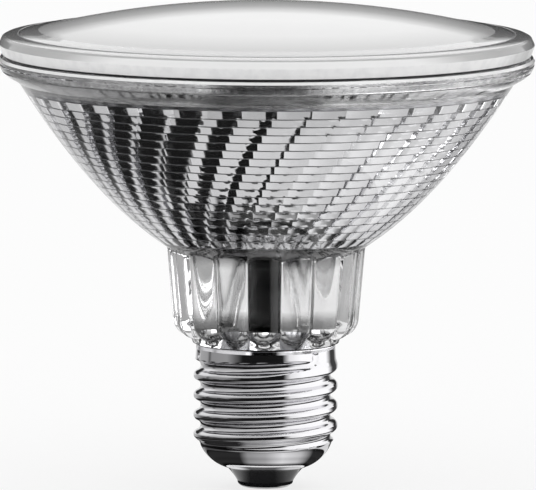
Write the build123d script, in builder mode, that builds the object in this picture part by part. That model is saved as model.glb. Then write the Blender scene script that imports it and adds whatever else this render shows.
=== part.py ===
from build123d import *
import math
import os

os.makedirs("parts", exist_ok=True)

# Reflector spotlight bulb with a screw cap. Its axis is Z, the lens looks up and the front faces -Y.
# The origin is the middle of the centre contact's flat face. All sizes are in millimetres and degrees.

# Cap, from the contact upwards
contact_radius = 4.7
contact_face_radius = 3.6
contact_height = 0.4
contact_stem_radius = 2.2
contact_stem_height = 1.6
contact_hole_radius = 0.8
solder_height = 0.5
insulator_foot_radius = 5.05
insulator_stand = 3.35
insulator_rise = 2.2
cap_sheet = 0.3
cap_mouth_radius = 7.4
dish_height = 4.55
dish_bend_radius = 7.1
thread_pitch = 3.629
thread_crest_radius = 13.1
thread_root_radius = 12.05
thread_height = 15.2
thread_land = 0.6
thread_lead_in = 2.43
thread_turns = 4.83
thread_run_out = 6.5
thread_run_out_radius = 40.0
skirt_height = 2.7
dimple_count = 3
dimple_turn = -44.0
dimple_ball_radius = 2.2
dimple_depth = 0.8
dimple_drop = 1.8
cap_clearance = 0.1

# Glass neck with its boss for the cap
neck_gap = 0.3
boss_radius = 11.45
boss_height = 6.8
boss_bore_radius = 9.0
neck_core_radius = 13.3
neck_bore_radius = 11.5
neck_floor = 3.6
lobe_count = 16
lobe_radius = 3.4
lobe_foot_radius = 16.85
lobe_top_radius = 18.0
lobe_foot_rise = 4.4
lobe_height = 13.05
lobe_turn = -1.0

# Glass bowl with its flange
bowl_height = 30.0
bowl_rim_radius = 44.9
flange_radius = 48.4
flange_height = 4.3
flange_slope_height = 1.3
flange_slope_radius = 47.1
flange_side_rise = 3.0
flange_fin = 0.1
flange_edge = 0.35
mouth_radius = 42.4

# Mirror facets on the inside of the bowl
facet_columns = 42
facet_rows = 19
facet_row_height = 1.49
facet_top_drop = 0.65
facet_top_radius = 41.3
facet_bottom_radius = 15.8
facet_bow = 13.5
facet_row_turn = -1.25
facet_turn = -6.0
facet_ledge_share = 0.0068
facet_ledge_drop = 0.05

# Joint and lens
seal_height = 0.65
seal_inner_radius = 43.6
seal_outer_radius = 47.0
lens_foot_radius = 47.9
lens_fin_radius = 48.5
lens_fin_rise = 1.9
lens_edge_rise = 3.1
lens_edge_round = 0.6
lens_edge_crown = 0.3
lens_ring_outer_radius = 45.0
lens_ring_outer_rise = 3.75
lens_ring_inner_radius = 43.0
lens_ring_inner_rise = 4.15
dome_edge_radius = 41.3
dome_edge_rise = 4.3
dome_rise = 9.1
lens_wall = 3.2
lens_well_radius = 40.8

# Halogen capsule and its wiring
pin_spacing = 7.6
pin_radius = 0.5
ferrule_radius = 2.0
ferrule_rim_radius = 2.7
ferrule_rim_height = 0.5
ferrule_stand = 0.8
pin_tail = 0.6
pinch_lift = 3.3
pinch_width = 12.4
pinch_depth = 3.4
pinch_height = 11.0
capsule_radius = 6.5
capsule_wall = 1.0
capsule_length = 22.0
capsule_tip_radius = 1.4
capsule_tip_height = 1.6
foil_width = 2.4
foil_thickness = 0.1
foil_length = 6.5
foil_lift = 2.0
filament_radius = 0.8
filament_length = 13.0
filament_lead_radius = 0.3
lead_bend = 0.7
lead_reach = 1.5
wire_radius = 0.4
wire_bend = 2.0
wire_drop = 3.0
wire_clearance = 0.1

# Heights along the axis
insulator_foot_z = contact_height
shell_foot_z = insulator_foot_z + insulator_stand
dish_top_z = shell_foot_z + dish_height
thread_top_z = dish_top_z + thread_height
skirt_top_z = thread_top_z + skirt_height
neck_foot_z = skirt_top_z + neck_gap
boss_foot_z = neck_foot_z - boss_height
neck_floor_top_z = neck_foot_z + neck_floor
lobe_ball_z = neck_foot_z + lobe_foot_rise

# The bowl is a parabola through its rim and the tops of the neck lobes
bowl_foot_z = lobe_ball_z + lobe_height
flange_foot_z = bowl_foot_z + bowl_height
bowl_slope = (bowl_rim_radius**2 - lobe_top_radius**2) / bowl_height
bowl_vertex_z = bowl_foot_z - lobe_top_radius**2 / bowl_slope
core_top_z = bowl_vertex_z + neck_core_radius**2 / bowl_slope
flange_top_z = flange_foot_z + flange_height
lens_foot_z = flange_top_z + seal_height

# The facets follow a second parabola, whose focus holds the filament
facet_top_z = flange_foot_z - facet_top_drop
facet_bottom_z = facet_top_z - facet_rows * facet_row_height
mirror_slope = (facet_top_radius**2 - facet_bottom_radius**2) / (facet_top_z - facet_bottom_z)
mirror_vertex_z = facet_bottom_z - facet_bottom_radius**2 / mirror_slope
focus_z = mirror_vertex_z + mirror_slope / 4

# Thread form: equal arcs at root and crest, tangent at half depth
thread_depth = thread_crest_radius - thread_root_radius
thread_arc = ((thread_pitch / 4) ** 2 + (thread_depth / 2) ** 2) / thread_depth
thread_foot_z = dish_top_z - thread_lead_in
collar_foot_z = thread_foot_z + (thread_turns + 0.5) * thread_pitch + cap_clearance
thread_foot_plane = Plane((0, 0, thread_foot_z), x_dir=(1, 0, 0), z_dir=(0, -1, 0))
thread_end_turn = math.radians(360 * thread_turns)
thread_end_outwards = Vector(math.cos(thread_end_turn), math.sin(thread_end_turn), 0)
thread_end_ahead = Vector(
    -math.sin(thread_end_turn),
    math.cos(thread_end_turn),
    thread_pitch / (2 * math.pi * thread_crest_radius),
)
thread_end_plane = Plane(
    Vector(0, 0, thread_foot_z + thread_turns * thread_pitch) + thread_end_outwards * thread_crest_radius,
    x_dir=thread_end_ahead,
    z_dir=thread_end_outwards.cross(thread_end_ahead),
)

def polar(radius, angle):
    """Point at a radius and an angle around the axis."""
    return (radius * math.cos(math.radians(angle)), radius * math.sin(math.radians(angle)))


def land_radius(sheet):
    """Radius of the thread's crest and of the skirt, moved inwards by the sheet's thickness."""
    return thread_crest_radius - thread_arc + math.sqrt((thread_arc - sheet) ** 2 - (thread_land / 2) ** 2)


def groove_outline(sheet):
    """Section of the thread groove, moved inwards by the sheet's thickness."""
    root_arc = thread_arc + sheet
    crest_arc = thread_arc - sheet
    root_middle = thread_root_radius + thread_arc
    crest_middle = thread_crest_radius - thread_arc
    flank = math.asin(thread_pitch / 4 / thread_arc)
    flank_radius = root_middle - root_arc * math.cos(flank)
    flank_z = root_arc * math.sin(flank)
    land_z = (thread_pitch - thread_land) / 2
    crest_turn = (flank + math.asin(thread_land / 2 / crest_arc)) / 2
    crest_radius = crest_middle + crest_arc * math.cos(crest_turn)
    crest_z = thread_pitch / 2 - crest_arc * math.sin(crest_turn)
    land = land_radius(sheet)
    outside = thread_crest_radius + thread_depth
    ThreePointArc((flank_radius, -flank_z), (root_middle - root_arc, 0), (flank_radius, flank_z))
    ThreePointArc((flank_radius, flank_z), (crest_radius, crest_z), (land, land_z))
    Polyline((land, land_z), (outside, land_z), (outside, -land_z), (land, -land_z))
    ThreePointArc((land, -land_z), (crest_radius, -crest_z), (flank_radius, -flank_z))


def cap_outline(sheet):
    """Half section of the cap before threading, moved inwards by the sheet's thickness."""
    mouth = (cap_mouth_radius - sheet, shell_foot_z)
    dish_top = (thread_root_radius - sheet, dish_top_z)
    RadiusArc(mouth, dish_top, -(dish_bend_radius - sheet), short_sagitta=True)
    Polyline(
        dish_top,
        (land_radius(sheet), dish_top_z + thread_depth),
        (land_radius(sheet), skirt_top_z),
        (0, skirt_top_z),
        (0, shell_foot_z),
        mouth,
    )


def mirror_radius(z):
    """Radius of the mirror's parabola at a height."""
    return math.sqrt(mirror_slope * (z - mirror_vertex_z))


# Crimp dimples: balls punched into the skirt
dimple_z = skirt_top_z - dimple_drop
dimple_middle_radius = land_radius(0) + dimple_ball_radius - dimple_depth

# Centre contact: a shallow pressed plate with a hollow stem held in the insulator
with BuildPart() as centre_contact:
    with BuildSketch(Plane.XZ):
        with BuildLine():
            TangentArc((contact_face_radius, 0), (contact_radius, contact_height), tangent=(1, 0))
            Polyline(
                (contact_radius, contact_height),
                (contact_stem_radius, contact_height),
                (contact_stem_radius, contact_height + contact_stem_height),
                (contact_hole_radius, contact_height + contact_stem_height),
                (contact_hole_radius, 0),
                (contact_face_radius, 0),
            )
        make_face()
    revolve(axis=Axis.Z)

# Solder that closes the contact's hole under the end of its wire
with BuildPart() as contact_solder:
    with BuildSketch(Plane.XY):
        Circle(contact_hole_radius)
    extrude(amount=solder_height)

# Black glass insulator, moulded inside the cap's dish
with BuildPart() as cap_insulator:
    with BuildSketch(Plane.XZ):
        with BuildLine():
            cap_outline(cap_sheet)
        make_face()
    revolve(axis=Axis.Z)
    split(bisect_by=Plane.XY.offset(shell_foot_z + insulator_rise), keep=Keep.BOTTOM)
    with BuildSketch(Plane.XZ):
        with BuildLine():
            Polyline(
                (0, insulator_foot_z),
                (insulator_foot_radius, insulator_foot_z),
                (cap_mouth_radius - cap_sheet, shell_foot_z),
                (0, shell_foot_z),
                close=True,
            )
        make_face()
    revolve(axis=Axis.Z)
    with BuildSketch(Plane.XY.offset(insulator_foot_z)):
        Circle(contact_stem_radius)
    extrude(amount=contact_stem_height, mode=Mode.SUBTRACT)
    with BuildSketch(Plane.XY.offset(insulator_foot_z)):
        Circle(wire_radius + wire_clearance)
    extrude(amount=insulator_stand + insulator_rise, mode=Mode.SUBTRACT)

# Hollow of the cap, with the thread and the dimples pressed inwards
with BuildPart() as cap_hollow:
    with BuildSketch(Plane.XZ):
        with BuildLine():
            cap_outline(cap_sheet)
        make_face()
    revolve(axis=Axis.Z)
    with Locations((0, 0, dimple_z)):
        with PolarLocations(dimple_middle_radius, dimple_count, start_angle=dimple_turn):
            Sphere(dimple_ball_radius + cap_sheet, mode=Mode.SUBTRACT)
    with BuildLine():
        Helix(thread_pitch, thread_turns * thread_pitch, thread_crest_radius, center=(0, 0, thread_foot_z))
    with BuildLine(thread_end_plane):
        JernArc((0, 0), (1, 0), thread_run_out_radius, math.degrees(thread_run_out / thread_run_out_radius))
    with BuildSketch(thread_foot_plane):
        with BuildLine():
            groove_outline(cap_sheet)
        make_face()
    sweep(is_frenet=True, clean=False, mode=Mode.SUBTRACT)

# Screw shell: rolled sheet cap with a round thread that runs out under the plain skirt
with BuildPart() as screw_shell:
    with BuildSketch(Plane.XZ):
        with BuildLine():
            cap_outline(0)
        make_face()
    revolve(axis=Axis.Z)
    with Locations((0, 0, dimple_z)):
        with PolarLocations(dimple_middle_radius, dimple_count, start_angle=dimple_turn):
            Sphere(dimple_ball_radius, mode=Mode.SUBTRACT)
    with BuildLine():
        Helix(thread_pitch, thread_turns * thread_pitch, thread_crest_radius, center=(0, 0, thread_foot_z))
    with BuildLine(thread_end_plane):
        JernArc((0, 0), (1, 0), thread_run_out_radius, math.degrees(thread_run_out / thread_run_out_radius))
    with BuildSketch(thread_foot_plane):
        with BuildLine():
            groove_outline(0)
        make_face()
    sweep(is_frenet=True, clean=False, mode=Mode.SUBTRACT)
    add(cap_hollow.part, clean=False, mode=Mode.SUBTRACT)

# One lobe of the neck: a leaning round finger with a ball tip
lobe_lean = math.degrees(math.atan2(lobe_top_radius - lobe_foot_radius, lobe_height))
with BuildPart() as neck_lobe:
    with Locations(Location((lobe_foot_radius - lobe_radius, 0, lobe_ball_z), (0, lobe_lean, 0))):
        Sphere(lobe_radius)
        Cylinder(lobe_radius, lobe_height + lobe_radius / 2, align=(Align.CENTER, Align.CENTER, Align.MIN))

# Outline of a facet row at unit radius: arcs that bulge towards the axis between outward cusps
facet_step = 360 / facet_columns
facet_half_chord = math.sin(math.radians(facet_step / 2))
facet_sagitta = facet_half_chord * math.tan(math.radians(facet_bow / 2))
facet_middle = math.cos(math.radians(facet_step / 2)) - facet_sagitta
with BuildSketch() as facet_ring:
    with BuildLine():
        for column in range(facet_columns):
            ThreePointArc(
                polar(1, column * facet_step),
                polar(facet_middle, (column + 0.5) * facet_step),
                polar(1, (column + 1) * facet_step),
            )
    make_face()

# Reflector: pressed glass bowl with flange, lobed neck and cap boss, faceted inside
with BuildPart() as reflector:
    with BuildSketch(Plane.XZ):
        with BuildLine():
            Polyline(
                (0, flange_top_z),
                (0, boss_foot_z),
                (boss_radius, boss_foot_z),
                (boss_radius, collar_foot_z),
                (land_radius(cap_sheet) - cap_clearance, collar_foot_z),
                (land_radius(cap_sheet) - cap_clearance, neck_foot_z),
                (neck_core_radius, neck_foot_z),
                (neck_core_radius, core_top_z),
            )
            Bezier(
                (neck_core_radius, core_top_z),
                (
                    (neck_core_radius + bowl_rim_radius) / 2,
                    bowl_vertex_z + neck_core_radius * bowl_rim_radius / bowl_slope,
                ),
                (bowl_rim_radius, flange_foot_z),
            )
            Line((bowl_rim_radius, flange_foot_z), (flange_slope_radius, flange_foot_z + flange_slope_height))
            flange_bend = TangentArc(
                (flange_slope_radius, flange_foot_z + flange_slope_height),
                (flange_radius, flange_foot_z + flange_side_rise),
                tangent=(flange_slope_radius - bowl_rim_radius, flange_slope_height),
            )
            Polyline(
                flange_bend @ 1,
                (flange_radius + flange_fin, flange_top_z - flange_edge),
                (flange_radius - flange_edge, flange_top_z),
                (0, flange_top_z),
            )
        make_face()
    revolve(axis=Axis.Z)
    with PolarLocations(0, lobe_count, start_angle=lobe_turn):
        add(neck_lobe.part)
    with Locations((0, 0, dimple_z)):
        with PolarLocations(dimple_middle_radius, dimple_count, start_angle=dimple_turn):
            Sphere(dimple_ball_radius + cap_sheet + cap_clearance, mode=Mode.SUBTRACT)
    with BuildSketch(Plane.XZ):
        with BuildLine():
            Polyline(
                (0, boss_foot_z),
                (boss_bore_radius, boss_foot_z),
                (boss_bore_radius, neck_foot_z),
                (0, neck_foot_z),
                close=True,
            )
        make_face()
        with BuildLine():
            Polyline(
                (0, neck_floor_top_z),
                (neck_bore_radius, neck_floor_top_z),
                (neck_bore_radius, facet_bottom_z),
                (0, facet_bottom_z),
                close=True,
            )
        make_face()
        with BuildLine():
            Polyline(
                (0, facet_top_z),
                (mouth_radius, facet_top_z),
                (mouth_radius, flange_top_z),
                (0, flange_top_z),
                close=True,
            )
        make_face()
    revolve(axis=Axis.Z, mode=Mode.SUBTRACT)
    with BuildSketch(Plane.XY.offset(neck_foot_z)):
        with GridLocations(pin_spacing, 0, 2, 1):
            Circle(ferrule_radius)
    extrude(amount=neck_floor, mode=Mode.SUBTRACT)
    for row in range(facet_rows):
        row_top_z = facet_top_z - row * facet_row_height
        row_foot_z = row_top_z - facet_row_height
        row_turn = facet_turn + row * facet_row_turn - 90
        ledge_drop = facet_ledge_drop if row else 0
        with BuildSketch(Plane.XY.offset(row_top_z - ledge_drop)):
            add(facet_ring.sketch, rotation=row_turn)
            scale(by=mirror_radius(row_top_z) * (1 - facet_ledge_share / 2))
        with BuildSketch(Plane.XY.offset(row_foot_z)):
            add(facet_ring.sketch, rotation=row_turn)
            scale(by=mirror_radius(row_foot_z) * (1 + facet_ledge_share / 2))
    loft(ruled=True, clean=False, mode=Mode.SUBTRACT)

# Bonding bead in the joint, set back from the rim
with BuildPart() as rim_seal:
    with BuildSketch(Plane.XY.offset(flange_top_z)):
        Circle(seal_outer_radius)
        Circle(seal_inner_radius, mode=Mode.SUBTRACT)
    extrude(amount=seal_height)

# Front lens: pressed glass dome with a stepped, flanged rim
dome_sphere = ((dome_rise - dome_edge_rise) ** 2 + dome_edge_radius**2) / (2 * (dome_rise - dome_edge_rise))
dome_middle_z = lens_foot_z + dome_rise - dome_sphere
well_sphere = dome_sphere - lens_wall
well_top_z = dome_middle_z + math.sqrt(well_sphere**2 - lens_well_radius**2)
dome_half = dome_edge_radius / 2
well_half = lens_well_radius / 2
with BuildPart() as front_lens:
    with BuildSketch(Plane.XZ):
        with BuildLine():
            Polyline(
                (lens_well_radius, well_top_z),
                (lens_well_radius, lens_foot_z),
                (lens_foot_radius, lens_foot_z),
                (lens_fin_radius, lens_foot_z + lens_fin_rise),
                (lens_foot_radius, lens_foot_z + lens_edge_rise),
                (lens_foot_radius - lens_edge_round, lens_foot_z + lens_edge_rise + lens_edge_crown),
                (lens_ring_outer_radius, lens_foot_z + lens_ring_outer_rise),
                (lens_ring_inner_radius, lens_foot_z + lens_ring_inner_rise),
                (dome_edge_radius, lens_foot_z + dome_edge_rise),
            )
            ThreePointArc(
                (dome_edge_radius, lens_foot_z + dome_edge_rise),
                (dome_half, dome_middle_z + math.sqrt(dome_sphere**2 - dome_half**2)),
                (0, lens_foot_z + dome_rise),
            )
            Line((0, lens_foot_z + dome_rise), (0, lens_foot_z + dome_rise - lens_wall))
            ThreePointArc(
                (0, lens_foot_z + dome_rise - lens_wall),
                (well_half, dome_middle_z + math.sqrt(well_sphere**2 - well_half**2)),
                (lens_well_radius, well_top_z),
            )
        make_face()
    revolve(axis=Axis.Z)

# Heights of the capsule's pieces over the neck's glass floor
pinch_foot_z = neck_floor_top_z + pinch_lift
pinch_top_z = pinch_foot_z + pinch_height
capsule_top_z = pinch_top_z + capsule_length
foil_foot_z = pinch_foot_z + foil_lift
foil_top_z = foil_foot_z + foil_length
filament_foot_z = focus_z - filament_length / 2
filament_top_z = focus_z + filament_length / 2
pin_foot_z = neck_foot_z - ferrule_stand - pin_tail
pin_x = pin_spacing / 2


def lead_line(side, filament_end_z, turn_z):
    """Centre line of a filament lead from its foil to one end of the filament."""
    FilletPolyline(
        (side * pin_x, 0, foil_top_z),
        (side * pin_x, 0, turn_z),
        (0, 0, turn_z),
        (0, 0, filament_end_z),
        radius=lead_bend,
    )


# Filament: the closed outline of its coil, along the axis through the mirror's focus
with BuildPart() as filament:
    with BuildSketch(Plane.XY.offset(filament_foot_z)):
        Circle(filament_radius)
    extrude(amount=filament_length)

# Short lead: from the right foil to the foot of the filament
with BuildPart() as filament_lead_short:
    with BuildLine():
        lead_line(1, filament_foot_z, filament_foot_z - lead_reach)
    with BuildSketch(Plane.XY.offset(foil_top_z)):
        with Locations((pin_x, 0)):
            Circle(filament_lead_radius)
    sweep()

# Long lead: from the left foil past the filament to its top
with BuildPart() as filament_lead_long:
    with BuildLine():
        lead_line(-1, filament_top_z, filament_top_z + lead_reach)
    with BuildSketch(Plane.XY.offset(foil_top_z)):
        with Locations((-pin_x, 0)):
            Circle(filament_lead_radius)
    sweep()

# Capsule: quartz tube with a round end and exhaust tip over a flat pinch seal
with BuildPart() as capsule_bulb:
    with BuildSketch(Plane.XZ):
        with BuildLine():
            side_top_z = capsule_top_z - capsule_radius
            tip_top_z = capsule_top_z + capsule_tip_height
            Polyline(
                (0, tip_top_z),
                (0, pinch_top_z),
                (capsule_radius, pinch_top_z),
                (capsule_radius, side_top_z),
            )
            shoulder_rise = math.sqrt(capsule_radius**2 - capsule_tip_radius**2)
            shoulder = capsule_radius * math.sqrt(0.5)
            ThreePointArc(
                (capsule_radius, side_top_z),
                (shoulder, side_top_z + shoulder),
                (capsule_tip_radius, side_top_z + shoulder_rise),
            )
            Line((capsule_tip_radius, side_top_z + shoulder_rise), (0, tip_top_z))
        make_face()
    revolve(axis=Axis.Z)
    with BuildSketch(Plane.XY.offset(pinch_foot_z)):
        Rectangle(pinch_width, pinch_depth)
    extrude(amount=pinch_height)
    with BuildSketch(Plane.XY.offset(pinch_top_z)):
        Circle(capsule_radius - capsule_wall)
    extrude(amount=capsule_length - capsule_radius, mode=Mode.SUBTRACT)
    with Locations((0, 0, capsule_top_z - capsule_radius)):
        Sphere(capsule_radius - capsule_wall, mode=Mode.SUBTRACT)
    with BuildSketch(Plane.XY.offset(foil_foot_z)):
        with GridLocations(pin_spacing, 0, 2, 1):
            Rectangle(foil_width, foil_thickness)
    extrude(amount=foil_length, mode=Mode.SUBTRACT)
    with BuildSketch(Plane.XY.offset(foil_top_z)):
        with GridLocations(pin_spacing, 0, 2, 1):
            Circle(filament_lead_radius)
    extrude(amount=pinch_top_z - foil_top_z, mode=Mode.SUBTRACT)
    with BuildSketch(Plane.XY.offset(pinch_foot_z)):
        with GridLocations(pin_spacing, 0, 2, 1):
            Circle(pin_radius)
    extrude(amount=foil_lift, mode=Mode.SUBTRACT)


def pinch_side(side):
    """One foil, its pin and its ferrule, on one side of the axis."""
    with BuildPart() as foil:
        with BuildSketch(Plane.XY.offset(foil_foot_z)):
            with Locations((side * pin_x, 0)):
                Rectangle(foil_width, foil_thickness)
        extrude(amount=foil_length)
    with BuildPart() as pin:
        with BuildSketch(Plane.XY.offset(pin_foot_z)):
            with Locations((side * pin_x, 0)):
                Circle(pin_radius)
        extrude(amount=foil_foot_z - pin_foot_z)
    with BuildPart() as ferrule:
        with BuildSketch(Plane.XY.offset(neck_foot_z - ferrule_stand)):
            with Locations((side * pin_x, 0)):
                Circle(ferrule_radius)
        extrude(amount=ferrule_stand + neck_floor)
        with BuildSketch(Plane.XY.offset(neck_floor_top_z)):
            with Locations((side * pin_x, 0)):
                Circle(ferrule_rim_radius)
        extrude(amount=ferrule_rim_height)
        with BuildSketch(Plane.XY.offset(neck_foot_z - ferrule_stand)):
            with Locations((side * pin_x, 0)):
                Circle(pin_radius)
        extrude(amount=ferrule_stand + neck_floor + ferrule_rim_height, mode=Mode.SUBTRACT)
    return foil, pin, ferrule


foil_right, pin_right, ferrule_right = pinch_side(1)
foil_left, pin_left, ferrule_left = pinch_side(-1)

# Contact wire: from the right pin down through the insulator to the contact's solder
with BuildPart() as contact_wire:
    with BuildLine():
        FilletPolyline(
            (pin_x, 0, pin_foot_z),
            (pin_x, 0, pin_foot_z - wire_drop),
            (0, 0, shell_foot_z + insulator_rise + wire_drop),
            (0, 0, solder_height),
            radius=wire_bend,
        )
    with BuildSketch(Plane.XY.offset(pin_foot_z)):
        with Locations((pin_x, 0)):
            Circle(wire_radius)
    sweep()

# Shell wire: from the left pin out to a thread root on the inside of the cap
root_z = thread_foot_z + (math.floor(thread_turns) - 1.5) * thread_pitch
root_x = thread_root_radius - cap_sheet - wire_clearance
with BuildPart() as shell_wire:
    with BuildLine():
        FilletPolyline(
            (-pin_x, 0, pin_foot_z),
            (-pin_x, 0, root_z),
            (-root_x, 0, root_z),
            radius=wire_bend,
        )
    with BuildSketch(Plane.XY.offset(pin_foot_z)):
        with Locations((-pin_x, 0)):
            Circle(wire_radius)
    sweep()

pieces = {
    "centre_contact": centre_contact,
    "contact_solder": contact_solder,
    "cap_insulator": cap_insulator,
    "screw_shell": screw_shell,
    "reflector": reflector,
    "rim_seal": rim_seal,
    "front_lens": front_lens,
    "filament": filament,
    "filament_lead_short": filament_lead_short,
    "filament_lead_long": filament_lead_long,
    "capsule_bulb": capsule_bulb,
    "foil_left": foil_left,
    "foil_right": foil_right,
    "pin_left": pin_left,
    "pin_right": pin_right,
    "ferrule_left": ferrule_left,
    "ferrule_right": ferrule_right,
    "contact_wire": contact_wire,
    "shell_wire": shell_wire,
}
for name, piece in pieces.items():
    piece.part.label = name
    export_step(piece.part, f"parts/{name}.step")
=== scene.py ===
import math

import bpy
import numpy as np
from mathutils import Matrix


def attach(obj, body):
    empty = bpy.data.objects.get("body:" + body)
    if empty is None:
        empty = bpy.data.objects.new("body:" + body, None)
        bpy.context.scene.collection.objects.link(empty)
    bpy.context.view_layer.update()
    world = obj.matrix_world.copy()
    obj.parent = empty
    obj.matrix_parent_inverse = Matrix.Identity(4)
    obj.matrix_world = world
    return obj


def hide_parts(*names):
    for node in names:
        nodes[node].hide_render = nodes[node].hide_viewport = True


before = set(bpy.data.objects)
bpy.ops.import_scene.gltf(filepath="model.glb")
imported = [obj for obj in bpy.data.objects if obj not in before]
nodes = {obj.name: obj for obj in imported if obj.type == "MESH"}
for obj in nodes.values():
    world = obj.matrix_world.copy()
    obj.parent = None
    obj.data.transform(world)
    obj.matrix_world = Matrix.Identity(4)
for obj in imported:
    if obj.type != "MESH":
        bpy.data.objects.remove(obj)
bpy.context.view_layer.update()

# Centre contact: a shallow plate pressed from tinned brass, held in the black glass by its hollow stem.
# Solder closes its hole under the end of the lead wire, so the two share one dull, slightly pitted finish.
MM = 0.001
CONTACT_RADIUS = 4.7
CONTACT_FLAT = 3.6
CONTACT_RIM = 0.4
STEM_RADIUS = 2.2
STEM_HOLE = 0.8
STEM_TOP = 2.0


def turned(name, outline, steps):
    """Draws an outline of (radius, height) points in millimetres and spins it once round the bulb's axis."""
    bpy.ops.object.select_all(action="DESELECT")
    bpy.ops.mesh.primitive_plane_add(size=MM)
    piece = bpy.context.object
    piece.name = piece.data.name = name
    bpy.ops.object.mode_set(mode="EDIT")
    bpy.ops.mesh.select_all(action="SELECT")
    bpy.ops.mesh.merge(type="CENTER")
    bpy.ops.transform.translate(value=(outline[0][0] * MM, 0, outline[0][1] * MM))
    for (radius, height), (next_radius, next_height) in zip(outline, outline[1:]):
        step = ((next_radius - radius) * MM, 0, (next_height - height) * MM)
        bpy.ops.mesh.extrude_vertices_move(TRANSFORM_OT_translate={"value": step})
    bpy.ops.mesh.select_all(action="SELECT")
    bpy.ops.mesh.spin(steps=steps, angle=2 * math.pi, center=(0, 0, 0), axis=(0, 0, 1))
    bpy.ops.mesh.select_all(action="SELECT")
    bpy.ops.mesh.remove_doubles(threshold=0.001 * MM)
    bpy.ops.mesh.normals_make_consistent(inside=False)
    bpy.ops.object.mode_set(mode="OBJECT")
    return piece


def rounded(piece, width, limit, segments=3, margin=15):
    """Rounds the corners that are sharper than the limit in degrees, and smooths what the margin allows."""
    bevel = piece.modifiers.new("rounded_corners", "BEVEL")
    bevel.width = width * MM
    bevel.segments = segments
    bevel.limit_method = "ANGLE"
    bevel.angle_limit = math.radians(limit)
    bpy.ops.object.modifier_apply(modifier=bevel.name)
    bpy.ops.object.shade_smooth_by_angle(angle=math.radians(limit + margin))


def arc(start, end, bulge, count):
    """Points along a round arc between two outline points; bulge is its height to the left of the chord."""
    (x0, z0), (x1, z1) = start, end
    chord = math.hypot(x1 - x0, z1 - z0)
    radius = (chord**2 / 4 + bulge**2) / (2 * bulge)
    half = math.asin(chord / 2 / radius)
    left = ((z0 - z1) / chord, (x1 - x0) / chord)
    middle_x = (x0 + x1) / 2 + left[0] * (bulge - radius)
    middle_z = (z0 + z1) / 2 + left[1] * (bulge - radius)
    begin = math.atan2(z0 - middle_z, x0 - middle_x)
    turns = [begin - 2 * half * index / count for index in range(1, count + 1)]
    reach = abs(radius)
    return [(middle_x + reach * math.cos(turn), middle_z + reach * math.sin(turn)) for turn in turns]


def new_group(name, inputs, outputs):
    """A shader node group with number sockets; returns it with its input node and its output node."""
    group = bpy.data.node_groups.new(name, "ShaderNodeTree")
    for socket, value in inputs.items():
        made = group.interface.new_socket(socket, in_out="INPUT", socket_type="NodeSocketFloat")
        made.default_value = value
    for socket in outputs:
        group.interface.new_socket(socket, in_out="OUTPUT", socket_type="NodeSocketFloat")
    return group, group.nodes.new("NodeGroupInput"), group.nodes.new("NodeGroupOutput")


def share_of(tree, value, low, high):
    """A Map Range node that says where a value lies between two ends."""
    spread = tree.nodes.new("ShaderNodeMapRange")
    spread.inputs["From Min"].default_value = low
    spread.inputs["From Max"].default_value = high
    tree.links.new(value, spread.inputs["Value"])
    return spread


def surface_grain():
    """Node group: soft noise at a set scale, as a roughness between two values and as a height for bump."""
    sizes = {"Scale": 400.0, "Smooth": 0.1, "Rough": 0.2}
    group, given, made = new_group("surface_grain", sizes, ("Roughness", "Height"))
    place = group.nodes.new("ShaderNodeTexCoord")
    noise = group.nodes.new("ShaderNodeTexNoise")
    noise.inputs["Detail"].default_value = 4.0
    spread = share_of(group, noise.outputs["Fac"], 0.3, 0.7)
    group.links.new(place.outputs["Object"], noise.inputs["Vector"])
    group.links.new(given.outputs["Scale"], noise.inputs["Scale"])
    group.links.new(given.outputs["Smooth"], spread.inputs["To Min"])
    group.links.new(given.outputs["Rough"], spread.inputs["To Max"])
    group.links.new(spread.outputs["Result"], made.inputs["Roughness"])
    group.links.new(noise.outputs["Fac"], made.inputs["Height"])
    return group


def placed(tree, group, **values):
    """Places a node group in a material, with values for its inputs."""
    made = tree.nodes.new("ShaderNodeGroup")
    made.node_tree = group
    for socket, value in values.items():
        made.inputs[socket].default_value = value
    return made


grain = surface_grain()


def new_finish(name, colour, metallic, scale, smooth, rough, bump, depth, sockets=None):
    """A material with grain in its roughness and normal; sockets holds other fixed values of its shader."""
    made = bpy.data.materials.new(name)
    made.use_nodes = True
    tree = made.node_tree
    shader = tree.nodes["Principled BSDF"]
    shader.inputs["Base Color"].default_value = (*colour, 1)
    shader.inputs["Metallic"].default_value = metallic
    for socket, value in (sockets or {}).items():
        shader.inputs[socket].default_value = value
    texture = placed(tree, grain, Scale=scale, Smooth=smooth, Rough=rough)
    relief = tree.nodes.new("ShaderNodeBump")
    relief.inputs["Strength"].default_value = bump
    relief.inputs["Distance"].default_value = depth * MM
    tree.links.new(texture.outputs["Roughness"], shader.inputs["Roughness"])
    tree.links.new(texture.outputs["Height"], relief.inputs["Height"])
    tree.links.new(relief.outputs["Normal"], shader.inputs["Normal"])
    return made


tinned = new_finish(
    "tinned_contact", (0.40, 0.40, 0.40), metallic=1.0,
    scale=900, smooth=0.25, rough=0.45, bump=0.3, depth=0.05,
)
contact_plate = turned(
    "contact_plate",
    [
        (STEM_HOLE, STEM_TOP),
        (STEM_HOLE, 0.0),
        (CONTACT_FLAT, 0.0),
        *arc((CONTACT_FLAT, 0.0), (CONTACT_RADIUS, CONTACT_RIM), bulge=-0.1, count=5),
        (STEM_RADIUS, CONTACT_RIM),
        (STEM_RADIUS, STEM_TOP),
        (STEM_HOLE, STEM_TOP),
    ],
    steps=96,
)
rounded(contact_plate, width=0.08, limit=40)
contact_plate.data.materials.append(tinned)
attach(contact_plate, "root")
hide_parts("centre_contact")
nodes["contact_solder"].data.materials.clear()
nodes["contact_solder"].data.materials.append(tinned)

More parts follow.
